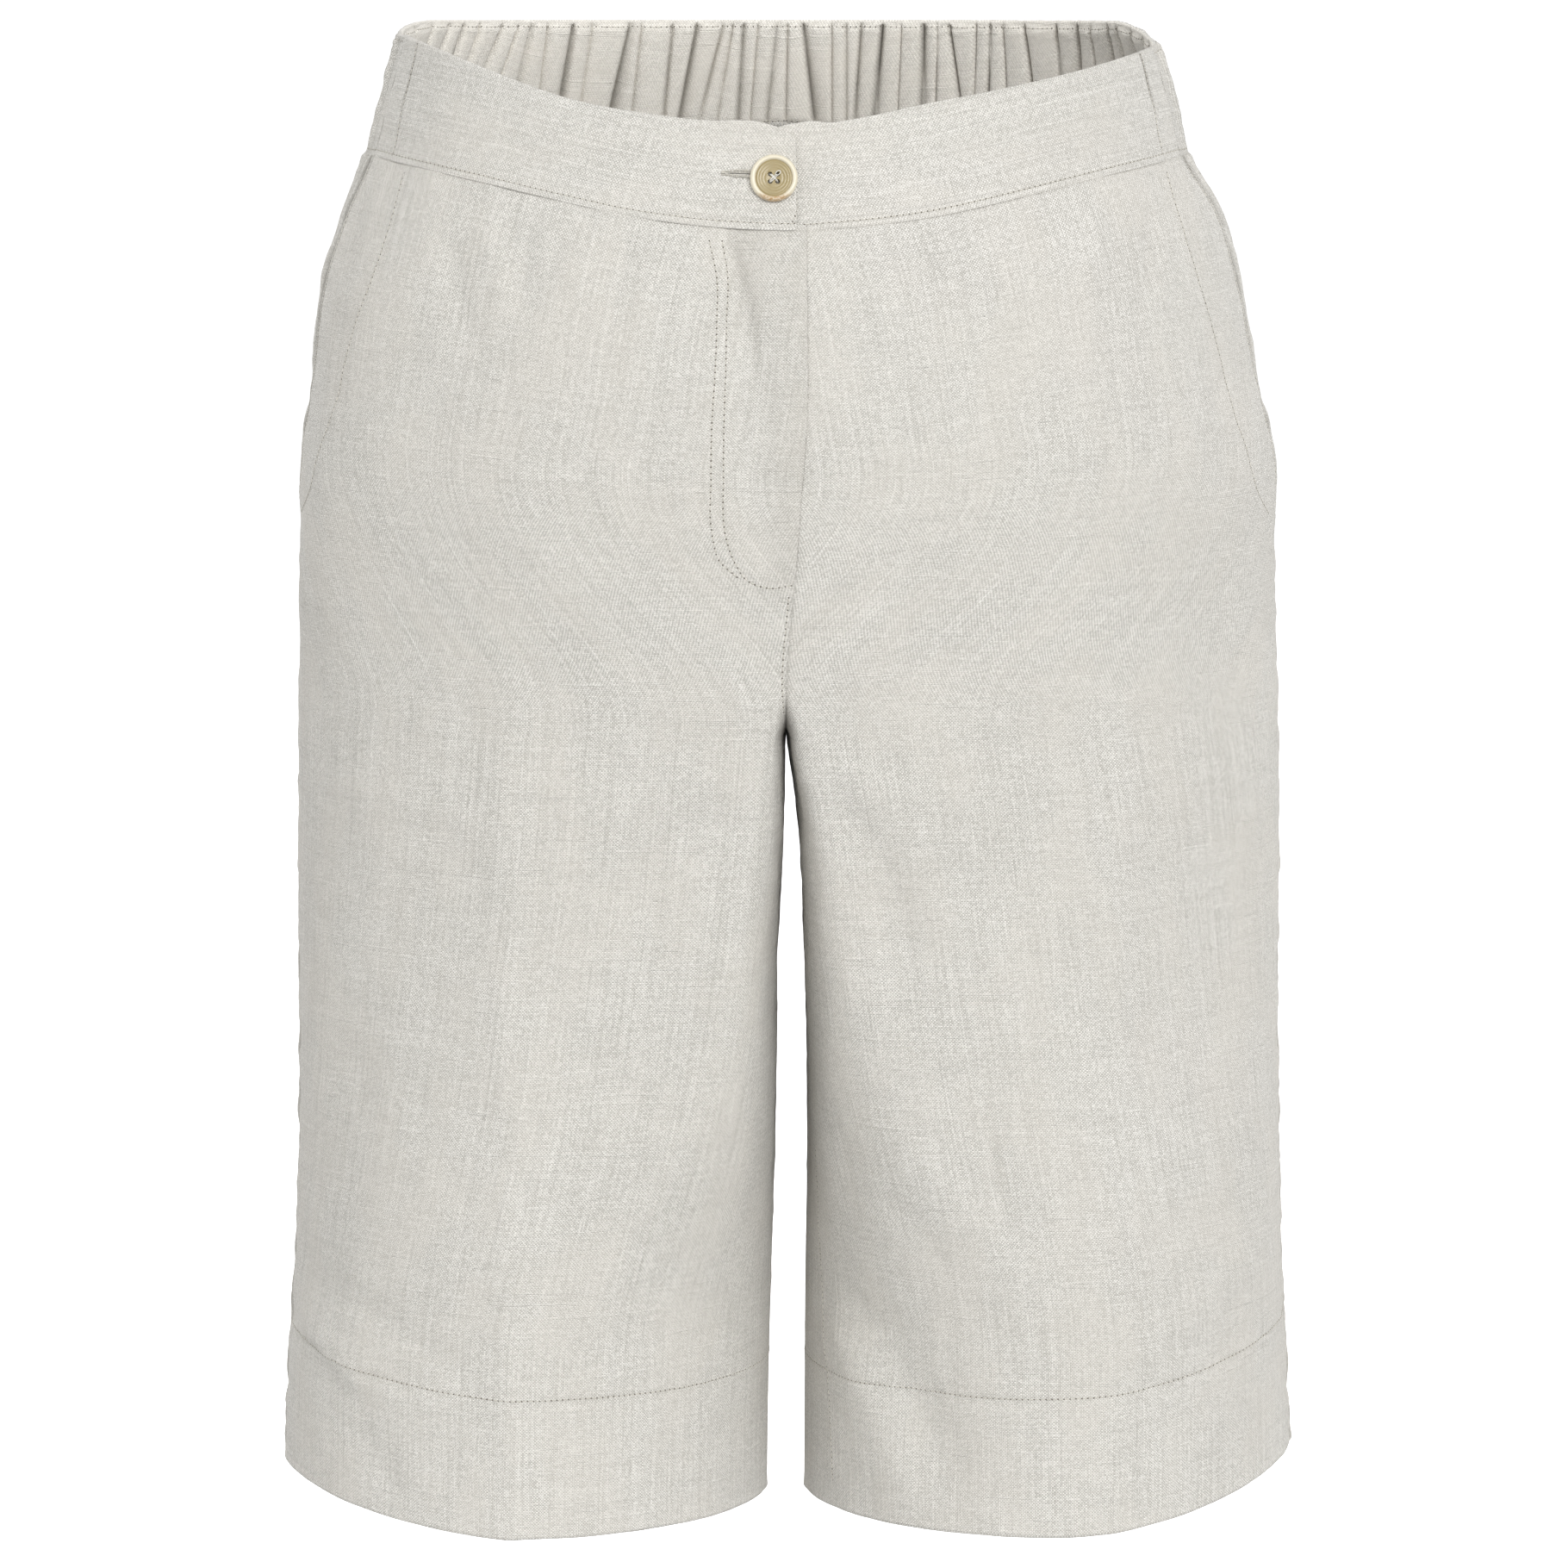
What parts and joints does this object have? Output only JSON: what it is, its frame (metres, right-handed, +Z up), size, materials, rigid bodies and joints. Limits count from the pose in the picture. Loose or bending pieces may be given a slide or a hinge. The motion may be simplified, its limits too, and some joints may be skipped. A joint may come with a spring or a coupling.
{
  "type": "bermuda shorts, filled out and hollow",
  "caption": "Knee-length linen shorts, filled out and hollow, with a plain front waistband, buttoned fly, gathered back waistband, side pockets and deep hems.",
  "frame": {"origin": "middle of the waist, inside the waistband, at the height of the front waistband's top edge: where the wearer's waist holds the shorts up", "axes": "+Z up, the front faces -Y, and the wearer's left leg is on +X"},
  "size_m": [0.4023, 0.2777, 0.5824],
  "materials": {
    "linen": "matte woven linen, natural pale beige",
    "button": "polished, horn coloured"
  },
  "bodies": {
    "root": {"right_front": "linen", "left_front": "linen", "right_back": "linen", "left_back": "linen", "right_hem": "linen", "left_hem": "linen", "right_pocket": "linen", "left_pocket": "linen", "right_front_waistband": "linen", "left_front_waistband": "linen", "back_waistband": "linen", "fly_shield": "linen", "button": "button"}
  },
  "joints": []
}
